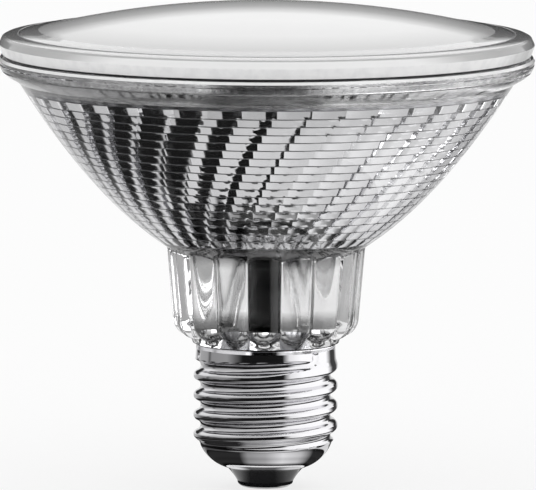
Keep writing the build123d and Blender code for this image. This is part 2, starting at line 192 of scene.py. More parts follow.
# Insulator: black glass poured into the cap's dish round the contact's stem.
# Its free side flares up to the cap's lip and keeps the gloss and faint ripples of cooled glass.
GLASS_BORE = 0.5
GLASS_EDGE = (4.5, CONTACT_RIM)
GLASS_HEEL = (5.05, 1.05)
GLASS_AT_LIP = (7.05, 3.72)
GLASS_TOP = (9.9, 5.95)
black_glass = new_finish(
    "black_glass", (0.008, 0.008, 0.009), metallic=0.0,
    scale=160, smooth=0.06, rough=0.16, bump=0.25, depth=0.1,
    sockets={"IOR": 1.52},
)
insulator = turned(
    "insulator_glass",
    [
        (GLASS_BORE, CONTACT_RIM),
        GLASS_EDGE,
        *arc(GLASS_EDGE, GLASS_HEEL, bulge=-0.17, count=5),
        *arc(GLASS_HEEL, GLASS_AT_LIP, bulge=0.12, count=8),
        *arc(GLASS_AT_LIP, GLASS_TOP, bulge=-0.25, count=6),
        (GLASS_BORE, GLASS_TOP[1]),
        (GLASS_BORE, CONTACT_RIM),
    ],
    steps=128,
)
rounded(insulator, width=0.1, limit=40)
insulator.data.materials.append(black_glass)
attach(insulator, "root")
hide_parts("cap_insulator")

# Screw shell: a cup of thin nickel plated sheet with a round thread rolled into it.
# Below is the dish that holds the black glass, above the plain skirt, crimped to the neck by punched dimples.
SHEET = 0.3
PITCH = 3.629
CREST = 13.1
ROOT = 11.8
THREAD_FOOT = 5.87
THREAD_TURNS = 4.72
RUN_OUT = 0.006
WINDINGS = 6
NO_GROOVE = 99.0
DISH_LIP = (7.4, 3.75)
DISH_EDGE = (12.05, 8.3)
CONE_STEP = 0.1
CONE_RINGS = 9
LAND = 13.056
LAND_FOOT = 9.35
LAND_STEP = 0.13
LAND_RINGS = 125
SKIRT_TOP = 26.2
SKIRT_START = 21.5
SKIRT_FOOT = 22.2
SKIRT_INSET = 0.22
SKIRT_TAPER = 0.06
SKIRT_SHOULDER = 0.3
SHOULDER_TOP = 23.6
SHOULDER_HEIGHT = 1.2
DIMPLES = (-44.0, 76.0, 196.0)
DIMPLE_HEIGHT = 24.7
DIMPLE_RADIUS = 1.75
DIMPLE_DEPTH = 0.8
thread_arc = ((PITCH / 4) ** 2 + ((CREST - ROOT) / 2) ** 2) / (CREST - ROOT)


def groove_radius(along):
    """Radius of the rolled thread at a distance along the axis from the middle of its groove."""
    along = np.abs(along)
    root = ROOT + thread_arc - np.sqrt(np.maximum(thread_arc**2 - along**2, 0))
    crest = CREST - thread_arc + np.sqrt(np.maximum(thread_arc**2 - (PITCH / 2 - along) ** 2, 0))
    return np.where(along < PITCH / 4, root, np.where(along < PITCH / 2, crest, NO_GROOVE))


def round_axis(piece):
    """Angle, radius and height in millimetres of each of a piece's points."""
    points = np.array([vertex.co for vertex in piece.data.vertices]) / MM
    return np.arctan2(points[:, 1], points[:, 0]), np.hypot(points[:, 0], points[:, 1]), points[:, 2]


def press(piece, turn, radius, height):
    """Moves a piece's points to new angles, radii and heights."""
    points = np.column_stack((radius * np.cos(turn), radius * np.sin(turn), height))
    piece.data.vertices.foreach_set("co", (points * MM).ravel())
    piece.data.update()


shell_outline = [DISH_LIP, *arc(DISH_LIP, DISH_EDGE, bulge=-0.789, count=18)]
cone_steps = [CONE_STEP * index for index in range(1, CONE_RINGS + 1)]
shell_outline += [(DISH_EDGE[0] + step, DISH_EDGE[1] + step) for step in cone_steps]
shell_outline += [(LAND, LAND_FOOT + LAND_STEP * index) for index in range(LAND_RINGS)]
shell_outline += [(LAND, SKIRT_TOP - drop) for drop in (0.4, 0.2, 0.0)]
shell = turned("cap_shell", shell_outline, steps=224)
turn, radius, height = round_axis(shell)
pressed = radius.copy()
for winding in range(WINDINGS):
    turns = np.mod(turn, 2 * math.pi) / (2 * math.pi) + winding
    past_end = np.maximum(turns - THREAD_TURNS, 0) * 2 * math.pi * CREST
    groove = groove_radius(height - THREAD_FOOT - PITCH * turns) + RUN_OUT * past_end**2
    pressed = np.minimum(pressed, groove)
for dimple in DIMPLES:
    across = np.mod(turn - math.radians(dimple) + math.pi, 2 * math.pi) - math.pi
    distance = np.hypot(across * LAND, height - DIMPLE_HEIGHT) / DIMPLE_RADIUS
    pressed -= DIMPLE_DEPTH * np.maximum(1 - distance**2, 0) ** 1.5
skirt = LAND - SKIRT_INSET - SKIRT_TAPER * (height - SKIRT_FOOT)
skirt += SKIRT_SHOULDER * np.clip((SHOULDER_TOP - height) / SHOULDER_HEIGHT, 0, 1)
pressed = np.where(height > SKIRT_START, np.minimum(pressed, skirt), pressed)
press(shell, turn, pressed, height)
wall = shell.modifiers.new("sheet", "SOLIDIFY")
wall.thickness = SHEET * MM
wall.offset = -1
wall.material_offset = 1
bpy.ops.object.modifier_apply(modifier=wall.name)
rounded(shell, width=0.12, limit=45)

nickel = new_finish(
    "nickel_plate", (0.76, 0.755, 0.775), metallic=1.0,
    scale=260, smooth=0.04, rough=0.10, bump=0.12, depth=0.06,
)
cap_inside = new_finish(
    "cap_inside", (0.10, 0.10, 0.10), metallic=0.0,
    scale=600, smooth=0.5, rough=0.7, bump=0.4, depth=0.1,
)
shell.data.materials.append(nickel)
shell.data.materials.append(cap_inside)
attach(shell, "root")
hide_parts("screw_shell")

# Halogen capsule and its wiring: a quartz tube pinched round two foils, with a coiled filament,
# two pins through ferrules in the neck's floor, and bare wires down to the contact and the shell.
quartz = new_finish(
    "quartz", (0.97, 0.97, 0.98), metallic=0.0,
    scale=300, smooth=0.0, rough=0.04, bump=0.1, depth=0.05,
    sockets={"Transmission Weight": 1.0, "IOR": 1.46},
)
bright_lead = new_finish(
    "bright_lead", (0.62, 0.62, 0.64), metallic=1.0,
    scale=800, smooth=0.2, rough=0.35, bump=0.2, depth=0.03,
)
tungsten = new_finish(
    "tungsten_wire", (0.28, 0.28, 0.30), metallic=1.0,
    scale=1500, smooth=0.3, rough=0.5, bump=0.4, depth=0.03,
)
copper = new_finish(
    "bare_copper", (0.72, 0.42, 0.27), metallic=1.0,
    scale=700, smooth=0.2, rough=0.4, bump=0.2, depth=0.03,
)
inner_finishes = {
    "capsule_bulb": quartz,
    "filament": tungsten,
    "filament_lead_short": tungsten,
    "filament_lead_long": tungsten,
    "foil_left": bright_lead,
    "foil_right": bright_lead,
    "pin_left": bright_lead,
    "pin_right": bright_lead,
    "ferrule_left": bright_lead,
    "ferrule_right": bright_lead,
    "contact_wire": copper,
    "shell_wire": copper,
}
for node, inner_finish in inner_finishes.items():
    nodes[node].data.materials.clear()
    nodes[node].data.materials.append(inner_finish)

# Reflector: one piece of clear pressed glass with a flange, a bowl and a neck of sixteen round fingers.
# Its inside is pressed into rows of small facets and coated with bright aluminium, seen through the glass.
GLASS_IOR = 1.47
NEAR = 0.01
STEPS = 336
NECK_FOOT = 26.5
NECK_CORE = 13.3
NECK_FLOOR = 30.1
NECK_TOP = 46.7
NECK_STEP = 0.24
NECK_RINGS = 84
NECK_REACH = 47.5
NECK_FILLET = 0.5
FOOT_FADE = 0.8
BORE = 11.5
BORE_MIDDLE = 37.0
BOSS_SEAT = 12.637
BOSS_STEP = 25.31
BOSS_RADIUS = 11.45
BOSS_FOOT = 19.7
BOSS_BORE = 9.0
FLANGE_FOOT = 73.95
FLANGE_TOP = 78.45
FLANGE_RADIUS = 48.5
FLANGE_CORNER = 44.9
FLANGE_LIP_WIDTH = 0.4
FLANGE_LIP_DEPTH = 0.5
BOWL_SLOPE = 56.40
BOWL_VERTEX = 38.205
BOWL_STEP = 0.9
BOWL_RINGS = 30
FINGERS = 16
FINGER_TURN = -1.0
FINGER = 3.4
FINGER_MIDDLE = 13.45
FINGER_BALL = 30.9
FINGER_LEAN = math.tan(math.radians(5.04))
FINGER_SOFTNESS = 0.3
FINGER_FILLET = 0.35
COLUMNS = 42
ROWS = 19
ROW_HEIGHT = 1.49
FACET_TOP = 73.30
FACET_BOTTOM = FACET_TOP - ROWS * ROW_HEIGHT
FACET_REACH = 41.5
FACET_BOW = math.radians(13.5)
FACET_TURN = -96.0
ROW_TURN = -1.25
LEDGE = 0.0034
LEDGE_DROP = 0.16
MIRROR_SLOPE = 51.43
MIRROR_VERTEX = 40.136
MOUTH = 42.4
MOUTH_MIDDLE = 75.8
MOUTH_CHAMFER = (0.6, 0.5)
PARABOLA_FOOT = 42.0
COAT_REACH = 1.2
BORE_REACH = BORE + 0.1
BORE_COAT_LOW = 30
BORE_COAT_HIGH = 48
BORE_COAT_WANDER = 3.0
SMOOTH_LIMIT = math.radians(18)


def bowl_radius(z):
    """Radius of the bowl's outside, and of the neck's core below it."""
    return np.sqrt(np.maximum(BOWL_SLOPE * (np.asarray(z) - BOWL_VERTEX), NECK_CORE**2))


def mirror_radius(z):
    """Radius of the parabola that the facets follow."""
    return np.sqrt(MIRROR_SLOPE * (np.asarray(z) - MIRROR_VERTEX))


def on_coat(from_axis, z):
    """Whether a point lies on the coated inside: the bore above its glass floor, the facets or the mouth."""
    reach = np.maximum(mirror_radius(np.maximum(z, PARABOLA_FOOT)) + COAT_REACH, BORE_REACH)
    return (z > NECK_FLOOR - NEAR) & (from_axis < reach)


def soft_greater(first, second, blend):
    """The greater of two radii, with a round fillet where they cross."""
    return np.maximum(first, second) + np.maximum(blend - np.abs(first - second), 0) ** 2 / (4 * blend)


def finger_radius(turn, z):
    """Outside of the neck's nearest two fingers: leaning cylinders with ball tips."""
    step = 2 * math.pi / FINGERS
    off = np.mod(turn - math.radians(FINGER_TURN) + step / 2, step) - step / 2
    middle = FINGER_MIDDLE + np.maximum(z - FINGER_BALL, 0) * FINGER_LEAN
    reach = FINGER**2 - np.minimum(z - FINGER_BALL, 0) ** 2
    sides = []
    for away in (np.abs(off), step - np.abs(off)):
        room = reach - (middle * np.sin(away)) ** 2
        sides.append(middle * np.cos(away) + np.sqrt((room + np.sqrt(room**2 + FINGER_SOFTNESS)) / 2))
    return soft_greater(sides[0], sides[1], FINGER_FILLET)


# The flange's pressed edge, as steps inwards from its widest radius and down from its top.
flange_edge = [
    (0.3, 0.0), (0.0, 0.5), (0.08, 1.0), (0.3, 1.15), (0.1, 1.3),
    (0.15, 1.65), (0.38, 2.15), (0.65, 2.3), (0.6, 2.5), (1.4, 3.2),
]
outside = [(MOUTH, FLANGE_TOP)]
outside += [(FLANGE_RADIUS - inwards, FLANGE_TOP - down) for inwards, down in flange_edge]
outside += [(FLANGE_CORNER, FLANGE_FOOT)]
bowl_heights = [FLANGE_FOOT - BOWL_STEP * index for index in range(1, BOWL_RINGS + 1)]
neck_heights = [NECK_TOP - NECK_STEP * index for index in range(NECK_RINGS)]
outside += [(float(bowl_radius(z)), z) for z in bowl_heights + neck_heights]
outside += [(NECK_CORE, NECK_FOOT)]
boss = [(BOSS_SEAT, NECK_FOOT), (BOSS_SEAT, BOSS_STEP), (BOSS_RADIUS, BOSS_STEP)]
boss += [(BOSS_RADIUS, BOSS_FOOT), (BOSS_BORE, BOSS_FOOT), (BOSS_BORE, NECK_FOOT)]
inside = [(0, NECK_FOOT), (0, NECK_FLOOR), (BORE, NECK_FLOOR), (BORE, BORE_MIDDLE), (BORE, FACET_BOTTOM)]
for row in reversed(range(ROWS)):
    row_top = FACET_TOP - row * ROW_HEIGHT
    row_foot = row_top - ROW_HEIGHT
    drop = LEDGE_DROP if row else 0.0
    top_radius = float(mirror_radius(row_top)) * (1 - LEDGE)
    foot_radius = float(mirror_radius(row_foot)) * (1 + LEDGE)
    for share in (0.0, 0.33, 0.67, 1.0):
        ring_radius = foot_radius + (top_radius - foot_radius) * share
        inside.append((ring_radius, row_foot + (ROW_HEIGHT - drop) * share))
inside += [(MOUTH - MOUTH_CHAMFER[0], FACET_TOP), (MOUTH, FACET_TOP + MOUTH_CHAMFER[1])]
inside += [(MOUTH, MOUTH_MIDDLE), (MOUTH, FLANGE_TOP)]
bowl = turned("reflector_bowl", outside + boss + inside, STEPS)

turn, radius, height = round_axis(bowl)
is_coat = on_coat(radius, height)
is_facet = is_coat & (height > FACET_BOTTOM - NEAR) & (height < FACET_TOP + NEAR)
is_facet &= (radius > BORE_REACH) & (radius < FACET_REACH)
is_neck = ~is_coat & (height > NECK_FOOT - NEAR) & (height < NECK_REACH) & (radius > NECK_CORE - NEAR)

necked = soft_greater(finger_radius(turn, height), bowl_radius(height), NECK_FILLET)
necked = NECK_CORE + (necked - NECK_CORE) * np.clip((height - NECK_FOOT) / FOOT_FADE, 0, 1)
radius = np.where(is_neck, necked, radius)

# Each row of facets is turned a little from the row above, and each facet is bowed between its edges.
column = 2 * math.pi / COLUMNS
in_row = np.clip(np.floor((FACET_TOP - height - 2 * NEAR) / ROW_HEIGHT), 0, ROWS - 1)
row_turn = np.radians(FACET_TURN + ROW_TURN * in_row)
first_turn = np.mod(math.radians(FACET_TURN) + column / 2, column) - column / 2
facet_turn = turn + np.where(is_facet, first_turn + np.radians(ROW_TURN) * in_row, 0)
off_middle = (np.mod(facet_turn - row_turn, column) - column / 2) / (column / 2)
half_chord = math.sin(column / 2)
bow_radius = half_chord / math.sin(FACET_BOW)
across = off_middle * half_chord
bow = np.sqrt(bow_radius**2 - across**2) - bow_radius * math.cos(FACET_BOW)
bowed = np.hypot(math.cos(column / 2) - bow, across)
press(bowl, np.where(is_facet, facet_turn, turn), np.where(is_facet, radius * bowed, radius), height)
bpy.ops.object.shade_smooth_by_angle(angle=SMOOTH_LIMIT)


def math_node(tree, operation, *values):
    """Result of a Math node whose values are numbers or other nodes' outputs."""
    made = tree.nodes.new("ShaderNodeMath")
    made.operation = operation
    for socket, value in zip(made.inputs, values):
        if isinstance(value, bpy.types.NodeSocket):
            tree.links.new(value, socket)
        else:
            socket.default_value = value
    return made.outputs["Value"]


def place_xyz(tree):
    """A surface point's own X, Y and Z."""
    place = tree.nodes.new("ShaderNodeTexCoord")
    apart = tree.nodes.new("ShaderNodeSeparateXYZ")
    tree.links.new(place.outputs["Object"], apart.inputs["Vector"])
    return apart.outputs["X"], apart.outputs["Y"], apart.outputs["Z"]


def shade_ramp(tree, value, stops):
    """Colour that follows stops of (value, shade) from 0 to 1; a shade is one grey or a colour."""
    ramp = tree.nodes.new("ShaderNodeValToRGB")
    for index, (place, shade) in enumerate(stops):
        stop = ramp.color_ramp.elements[index] if index < 2 else ramp.color_ramp.elements.new(place)
        stop.position = place
        stop.color = (*shade, 1) if isinstance(shade, tuple) else (shade, shade, shade, 1)
    tree.links.new(value, ramp.inputs["Fac"])
    return ramp.outputs["Color"]


def shade_over(tree, value, low, high, stops):
    """Colour that follows stops of (value, shade) between two ends."""
    shares = [((place - low) / (high - low), shade) for place, shade in stops]
    return shade_ramp(tree, share_of(tree, value, low, high).outputs["Result"], shares)


def multiplied(tree, first, second):
    """Product of two colours."""
    both = tree.nodes.new("ShaderNodeMix")
    both.data_type = "RGBA"
    both.blend_type = "MULTIPLY"
    both.inputs["Factor"].default_value = 1.0
    colours = [socket for socket in both.inputs if socket.type == "RGBA"]
    tree.links.new(first, colours[0])
    tree.links.new(second, colours[1])
    return next(socket for socket in both.outputs if socket.type == "RGBA")


def coloured(finish, colour):
    """Gives a finish a colour that changes over its surface."""
    tree = finish.node_tree
    tree.links.new(colour, tree.nodes["Principled BSDF"].inputs["Base Color"])


def drawn_streaks():
    """Node group: noise drawn out round the bulb's axis, and the share of a turn round that axis."""
    sizes = {"Around": 24.0, "Upwards": 1000.0, "Detail": 4.0, "Roughness": 0.5}
    group, given, made = new_group("drawn_streaks", sizes, ("Streaks", "Turn"))
    x, y, z = place_xyz(group)
    angle = math_node(group, "ARCTAN2", y, x)
    drawn_out = group.nodes.new("ShaderNodeCombineXYZ")
    noise = group.nodes.new("ShaderNodeTexNoise")
    noise.inputs["Scale"].default_value = 1.0
    round_turn = share_of(group, angle, -math.pi, math.pi)
    group.links.new(math_node(group, "MULTIPLY", angle, given.outputs["Around"]), drawn_out.inputs["X"])
    group.links.new(math_node(group, "MULTIPLY", z, given.outputs["Upwards"]), drawn_out.inputs["Y"])
    group.links.new(drawn_out.outputs["Vector"], noise.inputs["Vector"])
    group.links.new(given.outputs["Detail"], noise.inputs["Detail"])
    group.links.new(given.outputs["Roughness"], noise.inputs["Roughness"])
    group.links.new(noise.outputs["Fac"], made.inputs["Streaks"])
    group.links.new(round_turn.outputs["Result"], made.inputs["Turn"])
    return group


streaks = drawn_streaks()
clear_glass = new_finish(
    "pressed_glass", (0.97, 0.97, 0.975), metallic=0.0,
    scale=55, smooth=0.0, rough=0.02, bump=0.06, depth=0.5,
    sockets={"Transmission Weight": 1.0, "IOR": GLASS_IOR},
)
mirror_coat = new_finish(
    "mirror_coat", (0.90, 0.90, 0.91), metallic=1.0,
    scale=140, smooth=0.03, rough=0.08, bump=0.05, depth=0.2,
)
ledge_coat = new_finish(
    "coat_on_ledge", (0.42, 0.42, 0.43), metallic=1.0,
    scale=300, smooth=0.45, rough=0.6, bump=0.1, depth=0.1,
)

# The coat's edge in the flange is streaked round the axis, and has painted shade on its left side.
coat_edge = new_finish(
    "coat_edge", (0.62, 0.62, 0.63), metallic=1.0,
    scale=1600, smooth=0.12, rough=0.24, bump=0.35, depth=0.04,
)
tree = coat_edge.node_tree
drawn = placed(tree, streaks, Around=26, Upwards=2600, Detail=5.0, Roughness=0.7)
streak_stops = [(0.36, (0.60, 0.60, 0.61)), (0.62, (0.99, 0.99, 0.99))]
# Painted shade: the coat's colour is darker on the left, by the turn round the axis.
left_shade_stops = [(0.0, 0.62), (0.18, 0.62), (0.25, 0.95), (0.32, 1.0), (0.75, 1.0), (0.95, 0.62)]
streaked = shade_ramp(tree, drawn.outputs["Streaks"], streak_stops)
left_shaded = shade_ramp(tree, drawn.outputs["Turn"], left_shade_stops)
coloured(coat_edge, multiplied(tree, streaked, left_shaded))

# The rim's glass is a little milky, with faint marks drawn out round the axis.
rim_glass = new_finish(
    "rim_glass", (0.985, 0.985, 0.985), metallic=0.0,
    scale=55, smooth=0.02, rough=0.06, bump=0.06, depth=0.5,
    sockets={"Transmission Weight": 0.2, "IOR": GLASS_IOR},
)
tree = rim_glass.node_tree
drawn = placed(tree, streaks, Around=22, Upwards=420, Detail=3.0, Roughness=0.5)
mark_stops = [(0.35, (0.92, 0.92, 0.925)), (0.55, (0.995, 0.995, 0.995))]
coloured(rim_glass, shade_ramp(tree, drawn.outputs["Streaks"], mark_stops))

# In the bore the coat has painted shade towards both ends, at levels that wander a little.
bore_coat = new_finish(
    "bore_coat", (0.90, 0.90, 0.91), metallic=1.0,
    scale=140, smooth=0.03, rough=0.12, bump=0.06, depth=0.2,
)
# Painted shade: heights where the bore's coat is painted darker or left bright.
bore_shade_levels = [(31.2, 0.16), (33.0, 0.30), (35.2, 0.90), (42.6, 0.90), (44.8, 0.36), (46.8, 0.20)]
tree = bore_coat.node_tree
place = tree.nodes.new("ShaderNodeTexCoord")
wander = tree.nodes.new("ShaderNodeTexNoise")
wander.inputs["Scale"].default_value = 260
wander.inputs["Detail"].default_value = 4.0
tree.links.new(place.outputs["Object"], wander.inputs["Vector"])
uneven = math_node(tree, "MULTIPLY_ADD", wander.outputs["Fac"], BORE_COAT_WANDER * MM, place_xyz(tree)[2])
bore_shade_stops = [(level * MM, shade) for level, shade in bore_shade_levels]
coloured(bore_coat, shade_over(tree, uneven, BORE_COAT_LOW * MM, BORE_COAT_HIGH * MM, bore_shade_stops))


def paint(piece, finishes, chosen):
    """Gives each face the finish that a rule chooses by its distance from the axis and its height."""
    for finish in finishes:
        piece.data.materials.append(finish)
    for face in piece.data.polygons:
        middle = face.center / MM
        face.material_index = finishes.index(chosen(math.hypot(middle.x, middle.y), middle.z))


def bowl_finish(from_axis, z):
    """Finish of the reflector's face at a place."""
    if not on_coat(from_axis, z):
        # The flange's top outer lip takes the milky rim glass as a painted highlight along its edge.
        lip_highlight = z > FLANGE_TOP - FLANGE_LIP_DEPTH and from_axis > FLANGE_RADIUS - FLANGE_LIP_WIDTH
        return rim_glass if lip_highlight else clear_glass
    if z < FACET_BOTTOM + ROW_HEIGHT - LEDGE_DROP:
        return bore_coat
    if z < FACET_TOP:
        return ledge_coat if (FACET_TOP - z) % ROW_HEIGHT < LEDGE_DROP else mirror_coat
    in_mouth = z < FLANGE_TOP - NEAR and from_axis < MOUTH + NEAR
    return coat_edge if in_mouth else clear_glass


paint(bowl, [clear_glass, mirror_coat, coat_edge, rim_glass, ledge_coat, bore_coat], bowl_finish)
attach(bowl, "root")
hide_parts("reflector")

# Rim seal: a thin dark bead of bonding compound between flange and lens, set back from the rim.
# It squeezes out a little when the lens is pressed on, so its face is hollow and not quite even.
BEAD_INNER = 43.6
BEAD_OUTER = 46.95
BEAD_TOP = 78.9
bonding_paste = new_finish(
    "bonding_bead", (0.015, 0.015, 0.017), metallic=0.0,
    scale=500, smooth=0.4, rough=0.6, bump=0.5, depth=0.1,
)
bead = turned(
    "bonding_bead",
    [
        (BEAD_INNER, FLANGE_TOP),
        (BEAD_INNER, BEAD_TOP),
        (BEAD_OUTER, BEAD_TOP),
        *arc((BEAD_OUTER, BEAD_TOP), (BEAD_OUTER, FLANGE_TOP), bulge=-0.1, count=4),
        (BEAD_INNER, FLANGE_TOP),
    ],
    steps=256,
)
rounded(bead, width=0.06, limit=50, segments=2)
bead.data.materials.append(bonding_paste)
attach(bead, "root")
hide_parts("rim_seal")

# Front lens: a shallow dome of pressed glass with a stepped rim, its face etched to a satin white.
# The rim's outside stays clear and shows the etched inside through its thickness.
LENS_FOOT = BEAD_TOP
LENS_WALL = 3.2
DOME_EDGE = 41.3
DOME_EDGE_RISE = 4.3
DOME_RISE = 9.1
DOME_RINGS = 24
WELL = 40.8
WELL_RINGS = 16
RIM_MIDDLE = 1.95
RIM_ROOM = 1.0
SHOULDER = 3.3
GROOVE = 45.0
GROOVE_HALF = 0.16
SATIN_DEPTH = 1.0
WELL_ROOM = 0.02
FOOT_ROOM = 0.05
dome_sphere = ((DOME_RISE - DOME_EDGE_RISE) ** 2 + DOME_EDGE**2) / (2 * (DOME_RISE - DOME_EDGE_RISE))
dome_middle = LENS_FOOT + DOME_RISE - dome_sphere


def cap_height(sphere, radius):
    """Height of the dome's outside or inside, by its sphere, at a radius."""
    return dome_middle + math.sqrt(sphere**2 - radius**2)


# The rim's outline, as radii and rises over the lens' foot, with the fine groove in its shoulder.
rim = [(WELL, 0.0), (47.85, 0.0), (FLANGE_RADIUS, 1.9), (47.9, 3.1), (47.3, 3.4)]
rim += [(GROOVE + 0.15, 3.73), (GROOVE, 3.5), (GROOVE - 0.2, 3.79), (43.0, 4.15)]
dome_radii = [DOME_EDGE * (1 - index / DOME_RINGS) for index in range(DOME_RINGS + 1)]
well_radii = [WELL * index / WELL_RINGS for index in range(WELL_RINGS + 1)]
lens = turned(
    "front_lens_glass",
    [
        *[(ring, LENS_FOOT + rise) for ring, rise in rim],
        *[(ring, cap_height(dome_sphere, ring)) for ring in dome_radii],
        *[(ring, cap_height(dome_sphere - LENS_WALL, ring)) for ring in well_radii],
        (WELL, LENS_FOOT),
    ],
    STEPS,
)
rounded(lens, width=0.25, limit=16)


def axis_distance(tree):
    """Distance of a surface point from the bulb's axis."""
    place = tree.nodes.new("ShaderNodeTexCoord")
    flat = tree.nodes.new("ShaderNodeVectorMath")
    flat.operation = "MULTIPLY"
    flat.inputs[1].default_value = (1, 1, 0)
    away = tree.nodes.new("ShaderNodeVectorMath")
    away.operation = "LENGTH"
    tree.links.new(place.outputs["Object"], flat.inputs[0])
    tree.links.new(flat.outputs["Vector"], away.inputs[0])
    return away.outputs["Value"]


satin_glass = new_finish(
    "satin_glass", (0.97, 0.97, 0.97), metallic=0.0,
    scale=2500, smooth=0.05, rough=0.10, bump=0.1, depth=0.01,
    sockets={"Transmission Weight": 0.12, "IOR": GLASS_IOR},
)
# The satin face's colour is painted darker towards the dome's edge: painted shade.
tree = satin_glass.node_tree
to_edge = share_of(tree, axis_distance(tree), 0, DOME_EDGE * MM).outputs["Result"]
coloured(satin_glass, shade_ramp(tree, to_edge, [(0.5, 0.97), (0.78, 0.90), (0.92, 0.76), (1.0, 0.66)]))
etched_glass = new_finish(
    "etched_glass", (0.94, 0.94, 0.945), metallic=0.0,
    scale=2000, smooth=0.5, rough=0.65, bump=0.2, depth=0.03,
    sockets={"IOR": GLASS_IOR},
)
groove_shade = new_finish(
    "groove_shade", (0.16, 0.16, 0.165), metallic=0.0,
    scale=800, smooth=0.3, rough=0.5, bump=0.3, depth=0.05,
)
clear_shoulder = new_finish(
    "clear_shoulder", (0.95, 0.95, 0.955), metallic=0.0,
    scale=55, smooth=0.02, rough=0.06, bump=0.06, depth=0.5,
    sockets={"Transmission Weight": 0.45, "Coat Weight": 1.0, "IOR": GLASS_IOR},
)
rim_upper_band = new_finish(
    "rim_upper_band", (0.985, 0.985, 0.985), metallic=0.0,
    scale=55, smooth=0.02, rough=0.06, bump=0.06, depth=0.5,
    sockets={"Transmission Weight": 0.2, "IOR": GLASS_IOR},
)
# The upper band is painted darker where its face turns away from the view: painted shade at the rim's ends.
tree = rim_upper_band.node_tree
turned_away = tree.nodes.new("ShaderNodeLayerWeight").outputs["Facing"]
band_shade_stops = [(0.22, 0.985), (0.28, 0.83), (0.37, 0.58), (0.52, 0.45), (0.9, 0.40)]
coloured(rim_upper_band, shade_ramp(tree, turned_away, band_shade_stops))


def lens_finish(from_axis, z):
    """Finish of the lens' face at a place."""
    if from_axis < DOME_EDGE and z > cap_height(dome_sphere, from_axis) - SATIN_DEPTH:
        return satin_glass
    if from_axis < WELL + WELL_ROOM and z > LENS_FOOT + FOOT_ROOM:
        return etched_glass
    if z > LENS_FOOT + SHOULDER:
        return groove_shade if abs(from_axis - GROOVE) < GROOVE_HALF else clear_shoulder
    on_band = z > LENS_FOOT + RIM_MIDDLE and from_axis > WELL + RIM_ROOM
    return rim_upper_band if on_band else rim_glass


paint(lens, [rim_glass, satin_glass, etched_glass, groove_shade, clear_shoulder, rim_upper_band], lens_finish)
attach(lens, "root")
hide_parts("front_lens")

# Studio: a plain pale floor under an even white sky, with dark boards outside the picture.
# The boards give polished metal and glass the dark bands that show their form, and cast no shadow.
# Light goes through the glass and between the facets many times, so it may bounce more often than usual.
FLOOR_SIZE = 8000
FLOOR_LEVEL = -0.2
FLOOR_COLOUR = (0.9, 0.9, 0.9)
FLOOR_WHITE = 0.75
scene = bpy.context.scene
scene.view_settings.view_transform = "Standard"
scene.cycles.max_bounces = 24
scene.cycles.glossy_bounces = 16
scene.cycles.transmission_bounces = 24


def shown_white(tree, colour, share):
    """Shader that is plain for light and mostly white where the camera, metal or glass looks at it."""
    path = tree.nodes.new("ShaderNodeLightPath")
    plain = tree.nodes.new("ShaderNodeBsdfDiffuse")
    plain.inputs["Color"].default_value = (*colour, 1)
    white = tree.nodes.new("ShaderNodeEmission")
    mix = tree.nodes.new("ShaderNodeMixShader")
    looked_at = math_node(tree, "MAXIMUM", path.outputs["Is Camera Ray"], path.outputs["Is Glossy Ray"])
    looked_at = math_node(tree, "MAXIMUM", looked_at, path.outputs["Is Transmission Ray"])
    tree.links.new(math_node(tree, "MULTIPLY", looked_at, share), mix.inputs["Fac"])
    tree.links.new(plain.outputs["BSDF"], mix.inputs[1])
    tree.links.new(white.outputs["Emission"], mix.inputs[2])
    return mix.outputs["Shader"]


bpy.ops.object.select_all(action="DESELECT")
bpy.ops.mesh.primitive_plane_add(size=FLOOR_SIZE * MM, location=(0, 0, FLOOR_LEVEL * MM))
floor = bpy.context.object
floor.name = "studio_floor"
pale = bpy.data.materials.new("pale_floor")
pale.use_nodes = True
tree = pale.node_tree
pale_shader = shown_white(tree, FLOOR_COLOUR, FLOOR_WHITE)
tree.links.new(pale_shader, tree.nodes["Material Output"].inputs["Surface"])
floor.data.materials.append(pale)

sky = bpy.data.worlds.new("white_sky")
sky.use_nodes = True
sky.node_tree.nodes["Background"].inputs["Color"].default_value = (1, 1, 1, 1)
sky.node_tree.nodes["Background"].inputs["Strength"].default_value = 1.0
scene.world = sky


def staged(board, name, seen_by, around, outwards=((0, 1.0), (1000, 1.0)), reach=1000):
    """Lets a board glow by its angle from the front and its distance from the axis, for metal or glass."""
    board.name = name
    glowing = bpy.data.materials.new(name)
    glowing.use_nodes = True
    tree = glowing.node_tree
    x, y = place_xyz(tree)[:2]
    from_front = math_node(tree, "ARCTAN2", x, math_node(tree, "MULTIPLY", y, -1.0))
    round_shade = shade_over(tree, math_node(tree, "DEGREES", from_front), -180, 180, around)
    out_stops = [(distance * MM, shade) for distance, shade in outwards]
    out_shade = shade_over(tree, axis_distance(tree), 0, reach * MM, out_stops)
    glow = tree.nodes.new("ShaderNodeEmission")
    tree.links.new(multiplied(tree, round_shade, out_shade), glow.inputs["Color"])
    tree.links.new(glow.outputs["Emission"], tree.nodes["Material Output"].inputs["Surface"])
    board.data.materials.append(glowing)
    board.visible_camera = False
    board.visible_diffuse = False
    board.visible_shadow = False
    board.visible_glossy = seen_by == "metal"
    board.visible_transmission = seen_by == "glass"


def standing_ring(name, seen_by, radius, foot, top, around):
    """A round wall about the bulb between two heights."""
    bpy.ops.object.select_all(action="DESELECT")
    bpy.ops.mesh.primitive_cylinder_add(
        vertices=128, radius=radius * MM, depth=(top - foot) * MM,
        end_fill_type="NOTHING", location=(0, 0, (foot + top) / 2 * MM),
    )
    staged(bpy.context.object, name, seen_by, around)


def flat_card(name, seen_by, radius, level, around, outwards=None):
    """A round card on the floor under the bulb."""
    bpy.ops.object.select_all(action="DESELECT")
    bpy.ops.mesh.primitive_circle_add(
        vertices=96, radius=radius * MM, fill_type="NGON", location=(0, 0, level * MM)
    )
    staged(bpy.context.object, name, seen_by, around, outwards or [(0, 1.0), (radius, 1.0)], radius)


